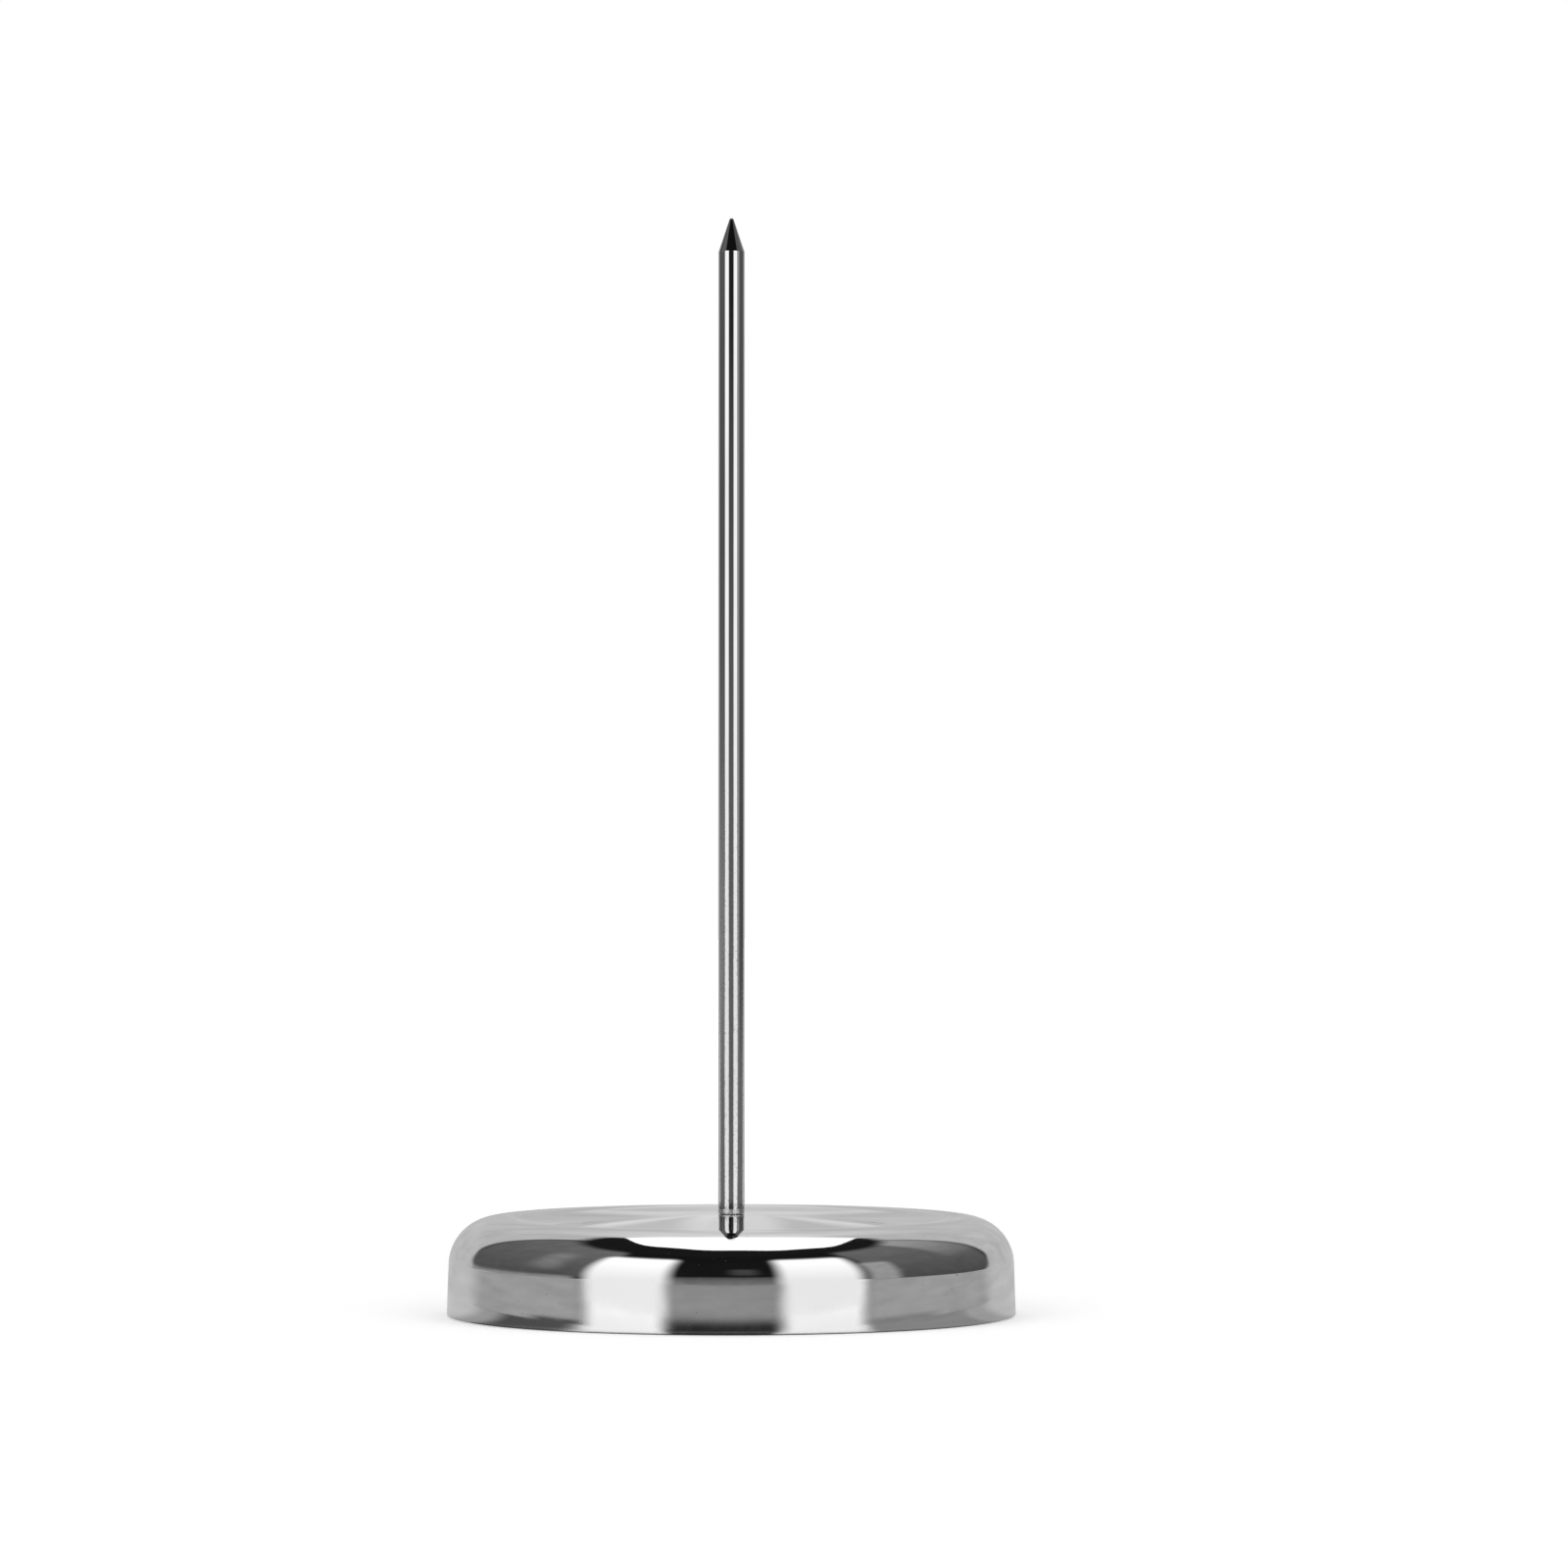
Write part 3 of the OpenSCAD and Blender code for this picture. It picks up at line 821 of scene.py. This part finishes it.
class BILLSPIKE_OT_mould_rubber(Step, bpy.types.Operator):
    """Mould the rubber base with its treads and ribs"""

    bl_idname = "bill_spike.mould_rubber"
    bl_label = "Mould the rubber base"

    def make(self, settings):
        sizes = settings.rubber
        outer_r0 = RUBBER_HIGH.x
        drop = SHELL_LOW.z
        top_z = WEIGHT_LOW.z
        outer_r1 = outer_r0 - (top_z - drop) * math.tan(settings.shell.draft)
        inner_r = outer_r1 - sizes.wall_t
        ring_r = outer_r0 - drop - sizes.tread_w
        land_w = (sizes.tread_w - sizes.groove_count * sizes.groove_w) / (sizes.groove_count + 1)

        pen = Pen(0, sizes.recess)
        pen.points((ring_r - sizes.recess, sizes.recess), (ring_r, 0))
        for index in range(sizes.groove_count):
            start_r = ring_r + land_w + index * (land_w + sizes.groove_w)
            end_r = start_r + sizes.groove_w
            pen.points((start_r, 0), (start_r, sizes.groove_depth), (end_r, sizes.groove_depth), (end_r, 0))
        pen.points((outer_r0 - drop, 0), (outer_r0, drop), (outer_r1, top_z))
        pen.points((inner_r, top_z), (inner_r, sizes.floor_z), (0, sizes.floor_z))
        bm = pen.turned(RING_STEPS)
        round_edges(bm, sharp_edges(bm, SLOPED), sizes.edge_round, 3)

        # Ribs run from the middle of the hub ring into the wall, and stand a little into the floor
        low, high = sizes.floor_z - RIB_SINK, sizes.floor_z + sizes.rib_h
        hub_inner_r = sizes.hub_r - sizes.rib_t
        hub = Pen(hub_inner_r, low)
        hub.points((sizes.hub_r, low), (sizes.hub_r, high), (hub_inner_r, high), (hub_inner_r, low))
        ring = hub.turned(SMALL_STEPS)
        start_r, end_r = sizes.hub_r - sizes.rib_t / 2, inner_r + RIB_SINK
        for index in range(sizes.rib_count):
            turn = Matrix.Rotation(math.tau * (index + 0.5) / sizes.rib_count, 4, UP)
            place = Matrix.Translation(((start_r + end_r) / 2, 0, (low + high) / 2))
            size = Matrix.Diagonal((end_r - start_r, sizes.rib_t, high - low, 1))
            bmesh.ops.create_cube(ring, size=1, matrix=turn @ place @ size)
        round_edges(ring, sharp_edges(ring, SLOPED), sizes.edge_round)
        join(bm, ring)
        finished(bm, "moulded_base", "rubber_base", rubber_finish(settings))


# Cards that only the metal sees: name, middle and half width of their direction, lowest and highest angle
# above the table in degrees, distance, brightness at the bottom and at the top, radius of the corners,
# softness of the edges and softness of the upper edge in degrees. Direction 0 is towards the camera and 90
# to its right. A lowest angle under 0 hides the lower edge. The last two stand close behind the shell, for
# its cone.
CARDS = (
    ("black_tent", -5, 128, -1, 63, 2.6, 0.010, 0.008, 0, 0.2, 0.2),
    ("black_ceiling", -3, 149, 53, 120, 1.6, 0.011, 0.008, 6, 6, 6),
    ("dim_gap", -2.5, 24, -10, 10, 2.4, 0.16, 0.03, 0, 3, 3),
    ("dim_patch", 5, 9, 8, 30, 2.35, 0.055, 0.07, 8, 8, 8),
    ("grey_wall_left", -95, 40, -4, 62, 1.7, 0.08, 0.165, 18, 5, 5),
    ("grey_wall_right", 94, 37.7, -5, 62, 1.7, 0.08, 0.165, 14, 5, 5),
    ("dark_rim_left", -95, 41.6, 5, 63, 1.74, 0.04, 0.045, 18, 4, 4),
    ("dark_rim_right", 94, 40, 5, 63, 1.74, 0.035, 0.045, 12, 4, 4),
    ("haze_left", -98, 34, -20, 8, 1.65, 0.3, 0.16, 6, 6, 7),
    ("pale_patch_right", 64, 10.5, -20, 36, 1.6, 0.34, 0.38, 5, 7, 8),
    ("pale_patch_high", 118, 16, 20, 62, 1.65, 0.12, 0.42, 8, 8, 6),
    ("pale_patch_left", -84, 14, 8, 50, 1.65, 0.19, 0.24, 13, 13, 13),
    ("softbox_left", -41.6, 21, -20, 49, 0.42, 0.97, 1.35, 9, 8, 7),
    ("softbox_right", 35.2, 20.4, -20, 49, 0.42, 0.97, 1.35, 9, 8, 7),
    ("back_wall", 177, 59, -20, 70, 1.8, 0.535, 0.535, 0, 4, 12),
    ("back_glow", 181, 30, 26, 89, 1.76, 0.54, 1.0, 0, 16, 0.5),
    ("back_low", 178, 66, -20, 15, 1.9, 0.535, 0.535, 4, 4, 4),
    ("back_slit", 179.5, 4.5, 25, 46, 1.69, 0.76, 0.74, 3, 4, 14),
    ("back_band", 180, 15, 5, 19, 0.12, 0.73, 0.76, 5, 7, 9),
    ("back_strip", 180, 6, 12, 36, 0.122, 0.68, 0.74, 3, 3, 4),
)
# Mats on the table that only the metal sees: name, middle and half width of their direction, inner and
# outer distance, brightness, softness of the sides in degrees, and layer
MATS = (
    ("front_mat", -3, 29, 0.02, 3, 0.14, 12, 2),
    ("left_mat", -86.5, 31.5, 0.088, 3, 0.17, 12, 2),
    ("right_mat", 85, 35, 0.1, 3, 0.17, 11, 2),
    ("left_apron", -86.5, 31.5, 0.02, 0.088, 0.36, 12, 2),
    ("right_apron", 85, 35, 0.02, 0.1, 0.37, 11, 2),
    # The three darkest mats near the object are its shadow on the table, painted, which only the metal
    # mirrors
    ("front_painted_shadow", -4.2, 25.7, 0.01, 0.095, 0.025, 6, 3),
    ("left_painted_shadow", -81.5, 22, 0.01, 0.088, 0.085, 11, 3),
    ("right_painted_shadow", 79, 25, 0.01, 0.1, 0.26, 6, 3),
    ("back_mat", 180, 80, 0.01, 3, 0.55, 6, 1),
)
MAT_LAYER = 0.02 * MM
# Low kerbs that stand close to the skirt, for its lower edge, darker at their foot as a painted shadow of
# the
# object on the table: name, middle and half width of their direction, distance, height, the heights between
# which the painted shadow fades, brightness below and above them, and softness of the sides in degrees
KERBS = (
    ("front_kerb", -3, 29, 0.1, 6.4 * MM, 0.5 * MM, 2.4 * MM, 0.022, 0.31, 12),
    ("left_kerb", -72, 17, 0.088, 6.4 * MM, 0.3 * MM, 0.9 * MM, 0.07, 0.37, 12),
    ("left_kerb_end", -91, 30.5, 0.089, 6.4 * MM, 0.3 * MM, 0.9 * MM, 0.37, 0.37, 12),
    ("right_kerb", 71, 21, 0.1, 6.2 * MM, 0.4 * MM, 1.2 * MM, 0.24, 0.38, 11),
    ("right_kerb_end", 89, 33.5, 0.101, 6.2 * MM, 0.4 * MM, 1.2 * MM, 0.38, 0.38, 11),
)
# The cards' directions are taken from the axis, and those of the mats and kerbs from the place on the table
# from which the rays that the front of the skirt mirrors seem to come
SKY_CENTRE = Vector((0, 0, 0))
TABLE_CENTRE = Vector((0, -20.5 * MM, 0))
# Degrees between the upright edges of a card, and the highest angle that a card reaches
CARD_STEP = 3
CARD_TOP = 89
# Share by which the cards are uneven, and the brightness from which a card is even
CLOUD = 0.09
EVEN_FROM = 0.9
# Sizes of the uneven patches: a card's distance divided by this, a mat's, a kerb's, and how flat these are
CARD_PATCHES = 8
MAT_PATCH = 0.05
KERB_PATCH = 0.02
KERB_FLAT = 0.05
# Light panel overhead: its place, its size, and the rounding of its corners
PANEL_PLACE = Vector((0.0455, 0.27, 1.0))
PANEL_WIDTH = 0.795
PANEL_LENGTH = 1.184
PANEL_CORNER = 0.1
PANEL_CORNER_STEPS = 12
# Its front corners are cut off and its sides drawn in: a place on each cut and the way that the cut faces
PANEL_CUTS = (
    (Vector((-0.263, -0.153, 1.0)), Vector((-0.787, -0.617, 0))),
    (Vector((0.347, -0.187, 1.0)), Vector((0.763, -0.648, 0))),
    (Vector((-0.332, 0.268, 1.0)), Vector((-0.99, 0.142, 0))),
    (Vector((0.409, 0.276, 1.0)), Vector((0.987, 0.161, 0))),
)
# Towards the rear it fades, from the second to the first of these distances behind the axis
PANEL_FADE = (0.58, 0.42)
# Lamps: name, direction, angle above the table in degrees, width, and share of the lamps' power
LAMPS = (
    ("lamp_left", -44, 35, 0.6, 1.0),
    ("lamp_right", 44, 35, 0.6, 1.0),
    ("lamp_top", 180, 80, 0.9, 1.6),
)
LAMP_DISTANCE = 1.2
# Brightness of the background as a lamp, where it isn't seen or mirrored
FILL = 0.45
# The floor: radius, steps of its edge, size of its grain, its two tones, the distances between which its
# glow grows to the background's, and its glow at the nearer one
FLOOR_R = 6
FLOOR_STEPS = 96
FLOOR_GRAIN = 1.5 * MM
FLOOR_TONES = ((0.78, 0.78, 0.78, 1.0), (0.8, 0.8, 0.8, 1.0))
FLOOR_NEAR = 0.1
FLOOR_FAR = 1.2
FLOOR_GLOW = 0.38
# Width of the camera's sensor in millimetres, and the nearest and farthest distance that it sees
SENSOR = 36
CLIP = (0.01, 20)


class CardShader(Shader):
    """A glowing card that fades out at its sides, placed by the direction seen from a centre."""

    def __init__(self, name, centre, middle):
        super().__init__(name)
        moved = self.out("Vector", "ShaderNodeVectorMath", {0: self.place, 1: centre}, operation="SUBTRACT")
        facing = {"Vector": moved, "Rotation": (0, 0, -math.radians(middle))}
        across, along, self.height = self.split(self.out("Vector", "ShaderNodeMapping", facing))
        turn = self.math("ARCTAN2", across, self.times(along, -1.0))
        self.turn = self.math("DEGREES", self.math("ABSOLUTE", turn))
        self.rise = self.math("DEGREES", self.math("ARCTAN2", self.height, self.distance(across, along)))

    def clouded(self, bright, size, flat=1.0):
        """Makes a brightness uneven, in patches of a size that may be flattened."""
        patches = self.noise(size, 3.0, self.stretched((1, 1, 1 / flat)))
        return self.times(bright, self.ramp(patches, 0.3, 0.7, 1 - CLOUD, 1 + CLOUD, False))


def stage_card(bm, name, material):
    """Makes the mesh a card that only mirror-like surfaces see."""
    card = placed(bm, name, material)
    card.visible_camera = False
    card.visible_diffuse = False
    card.visible_transmission = False
    card.visible_volume_scatter = False
    card.visible_shadow = False


def swept_strip(bm, centre, middle, half):
    """Sweeps what is drawn in the XZ plane through a card's directions, round its centre."""
    first = math.radians(middle - half - 90)
    bmesh.ops.rotate(bm, verts=bm.verts[:], matrix=Matrix.Rotation(first, 3, UP))
    wind(bm, bm.verts[:] + bm.edges[:], math.radians(2 * half), math.ceil(2 * half / CARD_STEP))
    bmesh.ops.translate(bm, verts=bm.verts[:], vec=centre)
    return bm


def hang_sky_card(name, middle, half, low, high, away, dim, bright, corner, soft, soft_top):
    """Hangs a curved card that is placed by its direction and its angle above the table."""
    made = CardShader(name, SKY_CENTRE, middle)
    # How far into the border with the rounded corners the place lies
    corner, top = max(corner, soft), max(corner, soft_top)
    aside = made.math("MAXIMUM", made.math("SUBTRACT", made.turn, half - corner), 0.0)
    under = made.math("MAXIMUM", made.math("SUBTRACT", low + corner, made.rise), 0.0)
    above = made.math("MAXIMUM", made.math("SUBTRACT", made.rise, high - top), 0.0)
    updown = made.plus(under, made.times(above, corner / top))
    shown = made.ramp(made.distance(aside, updown), corner, corner - soft)
    shown = made.times(shown, made.ramp(made.rise, high, high - soft_top))
    bright = made.ramp(made.rise, max(low, 0), high, dim, bright, False)
    if dim < EVEN_FROM:
        bright = made.clouded(bright, away / CARD_PATCHES)
    glow = made.glowing(shown, bright)
    pen = Pen(away * math.cos(math.radians(low)), away * math.sin(math.radians(low)))
    pen.arc(0, 0, math.radians(min(high, CARD_TOP) - low))
    stage_card(swept_strip(pen.bm, SKY_CENTRE, middle, half), name, glow)


def lay_mat(name, middle, half, near, far, bright, soft, layer):
    """Lays a flat card on the table."""
    made = CardShader(name, TABLE_CENTRE, middle)
    glow = made.glowing(made.ramp(made.turn, half, half - soft), made.clouded(bright, MAT_PATCH))
    pen = Pen(near, layer * MAT_LAYER)
    pen.points((far, layer * MAT_LAYER))
    stage_card(swept_strip(pen.bm, TABLE_CENTRE, middle, half), name, glow)


def stand_kerb(name, middle, half, away, high, painted_shadow_low, painted_shadow_high, foot, bright, soft):
    """Stands a low upright card on the table, close to the skirt."""
    made = CardShader(name, TABLE_CENTRE, middle)
    # The kerb is dark at its foot: a painted shadow, which the skirt's lower edge mirrors
    bright = made.clouded(made.ramp(made.height, painted_shadow_low, painted_shadow_high, foot, bright), KERB_PATCH, KERB_FLAT)
    glow = made.glowing(made.ramp(made.turn, half, half - soft), bright)
    pen = Pen(away, 0)
    pen.points((away, high))
    stage_card(swept_strip(pen.bm, TABLE_CENTRE, middle, half), name, glow)


class BILLSPIKE_OT_set_studio(Step, bpy.types.Operator):
    """Set the pale floor, the studio cards, the lamps and the camera"""

    bl_idname = "bill_spike.set_studio"
    bl_label = "Set the studio"

    def make(self, settings):
        studio = settings.studio
        self.lay_floor()
        self.light_world()
        for card in CARDS:
            hang_sky_card(*card)
        for mat in MATS:
            lay_mat(*mat)
        for kerb in KERBS:
            stand_kerb(*kerb)
        self.hang_panel(studio.panel)
        self.place_lamps(studio.lamp_power)
        self.place_camera(studio)

    def lay_floor(self):
        """Pale floor that holds the shadow near the object and runs out into the white background."""
        made = Shader("pale_floor")
        grain = made.noise(FLOOR_GRAIN, 3.0)
        paper = made.out("BSDF", "ShaderNodeBsdfDiffuse", {"Color": made.blend(grain, *FLOOR_TONES)})
        growing = made.ramp(made.axis_distance(), FLOOR_NEAR, FLOOR_FAR, FLOOR_GLOW, 1.0)
        bright = made.times(made.seen_rays(), growing)
        glow = made.out("Emission", "ShaderNodeEmission", {"Strength": bright})
        both = made.out("Shader", "ShaderNodeAddShader", {0: paper, 1: glow})
        bm = bmesh.new()
        bmesh.ops.create_circle(bm, cap_ends=True, segments=FLOOR_STEPS, radius=FLOOR_R)
        placed(bm, "pale_floor", made.ends_in(both))

    def light_world(self):
        """White background for the camera and the metal, and a soft fill for everything else."""
        made = Shader("studio", bpy.data.worlds.new("studio"), "ShaderNodeOutputWorld")
        strength = made.ramp(made.seen_rays(), 0.0, 1.0, FILL, 1.0, False)
        white = {"Color": (1.0, 1.0, 1.0, 1.0), "Strength": strength}
        bpy.context.scene.world = made.ends_in(made.out("Background", "ShaderNodeBackground", white))

    def hang_panel(self, bright):
        """Broad light panel overhead, which the rim and the trough mirror."""
        made = Shader("overhead_panel")
        glow = made.glowing(made.ramp(made.split()["Y"], *PANEL_FADE), bright)
        bm = bmesh.new()
        # The size is half the width of the grid, which so starts one metre wide
        bmesh.ops.create_grid(bm, x_segments=1, y_segments=1, size=0.5)
        bmesh.ops.scale(bm, verts=bm.verts[:], vec=(PANEL_WIDTH, PANEL_LENGTH, 1.0))
        bmesh.ops.translate(bm, verts=bm.verts[:], vec=PANEL_PLACE)
        for place, way in PANEL_CUTS:
            bmesh.ops.bisect_plane(
                bm, geom=bm.verts[:] + bm.edges[:] + bm.faces[:], plane_co=place, plane_no=way,
                clear_outer=True,
            )
        bmesh.ops.bevel(
            bm, geom=bm.verts[:], offset=PANEL_CORNER, offset_type="OFFSET", segments=PANEL_CORNER_STEPS,
            profile=0.5, affect="VERTICES", clamp_overlap=True, material=-1,
        )
        stage_card(bm, "overhead_panel", glow)

    def place_lamps(self, power):
        """Two large soft lamps in front and one overhead, which the metal doesn't mirror."""
        for name, turn, rise, size, share in LAMPS:
            light = bpy.data.lights.new(name, "AREA")
            light.shape = "SQUARE"
            light.size = size
            light.energy = power * share
            lamp = bpy.data.objects.new(name, light)
            bpy.context.scene.collection.objects.link(lamp)
            turn, rise = math.radians(turn), math.radians(rise)
            level = math.cos(rise)
            way = Vector((math.sin(turn) * level, -math.cos(turn) * level, math.sin(rise)))
            lamp.location = way * LAMP_DISTANCE
            lamp.rotation_mode = "QUATERNION"
            lamp.rotation_quaternion = way.to_track_quat("Z", "Y")
            lamp.visible_camera = False
            lamp.visible_glossy = False

    def place_camera(self, studio):
        """Camera at the photograph's viewing angle."""
        scene = bpy.context.scene
        camera = bpy.data.objects.new("camera", bpy.data.cameras.new("camera"))
        camera.data.lens = studio.lens
        camera.data.sensor_width = SENSOR
        camera.data.clip_start, camera.data.clip_end = CLIP
        camera.location = (0, -studio.camera_distance, studio.camera_height)
        camera.rotation_euler = (math.pi / 2 + studio.camera_pitch, 0, -studio.camera_yaw)
        scene.collection.objects.link(camera)
        scene.camera = camera
        scene.view_settings.view_transform = "Standard"


class BillSpikeSettings(bpy.types.PropertyGroup):
    """All settings of the bill spike."""

    shell: bpy.props.PointerProperty(type=ShellSizes)
    spike: bpy.props.PointerProperty(type=SpikeSizes)
    stack: bpy.props.PointerProperty(type=StackSizes)
    rubber: bpy.props.PointerProperty(type=RubberSizes)
    finishes: bpy.props.PointerProperty(type=Finishes)
    studio: bpy.props.PointerProperty(type=StudioSettings)


OPERATORS = (
    BILLSPIKE_OT_press_shell,
    BILLSPIKE_OT_turn_spike,
    BILLSPIKE_OT_stack_weight,
    BILLSPIKE_OT_coil_spring_washer,
    BILLSPIKE_OT_cut_nut,
    BILLSPIKE_OT_mould_rubber,
    BILLSPIKE_OT_set_studio,
)


class BILLSPIKE_PT_panel(bpy.types.Panel):
    """Lists the steps and the settings in the 3D view's sidebar"""

    bl_idname = "BILLSPIKE_PT_panel"
    bl_label = "Bill Spike"
    bl_space_type = "VIEW_3D"
    bl_region_type = "UI"
    bl_category = "Bill Spike"

    def draw(self, context):
        settings = context.scene.bill_spike
        for operator in OPERATORS:
            self.layout.operator(operator.bl_idname)
        for name in settings.bl_rna.properties.keys():
            group = getattr(settings, name)
            if isinstance(group, bpy.types.PropertyGroup):
                box = self.layout.box()
                box.label(text=settings.bl_rna.properties[name].name)
                for field in group.__annotations__:
                    box.prop(group, field)


CLASSES = (
    ShellSizes,
    SpikeSizes,
    StackSizes,
    RubberSizes,
    Finishes,
    StudioSettings,
    BillSpikeSettings,
    *OPERATORS,
    BILLSPIKE_PT_panel,
)


def register():
    """Registers the classes and the scene's settings."""
    for cls in CLASSES:
        bpy.utils.register_class(cls)
    bpy.types.Scene.bill_spike = bpy.props.PointerProperty(type=BillSpikeSettings)


def unregister():
    """Takes the settings and the classes away again."""
    del bpy.types.Scene.bill_spike
    for cls in reversed(CLASSES):
        bpy.utils.unregister_class(cls)


def main():
    """Registers the classes, builds every piece and sets the studio."""
    register()
    bpy.ops.bill_spike.press_shell()
    bpy.ops.bill_spike.turn_spike()
    bpy.ops.bill_spike.stack_weight()
    bpy.ops.bill_spike.coil_spring_washer()
    bpy.ops.bill_spike.cut_nut()
    bpy.ops.bill_spike.mould_rubber()
    bpy.ops.bill_spike.set_studio()


if __name__ == "__main__":
    main()
